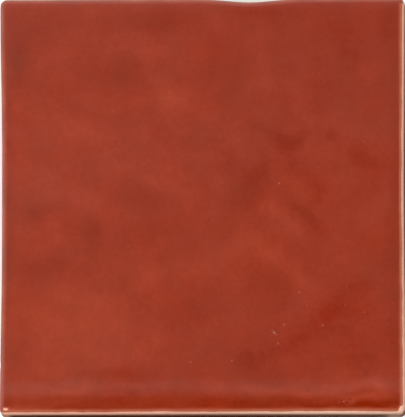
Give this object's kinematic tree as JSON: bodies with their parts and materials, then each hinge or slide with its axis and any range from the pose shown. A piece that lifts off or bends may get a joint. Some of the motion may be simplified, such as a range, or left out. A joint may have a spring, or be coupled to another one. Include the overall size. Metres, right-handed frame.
{
  "type": "glazed ceramic tile",
  "caption": "Square wall tile fired as one piece, with a glossy, gently wavy red-brown glazed face, softly rounded edges and a keyed back that beds into adhesive.",
  "frame": {"origin": "middle of the plane that the tile's back rests on", "axes": "+Z out of the glazed face, +Y towards the tile's top edge, +X to the right as the face is seen"},
  "size_m": [0.0984, 0.1014, 0.0087],
  "materials": {
    "glazed_clay": "glossy red-brown glaze on the face and arris, over a matt pale pink fired clay that is bare on the sides and back"
  },
  "bodies": {
    "root": {"tile": "glazed_clay"}
  },
  "joints": []
}
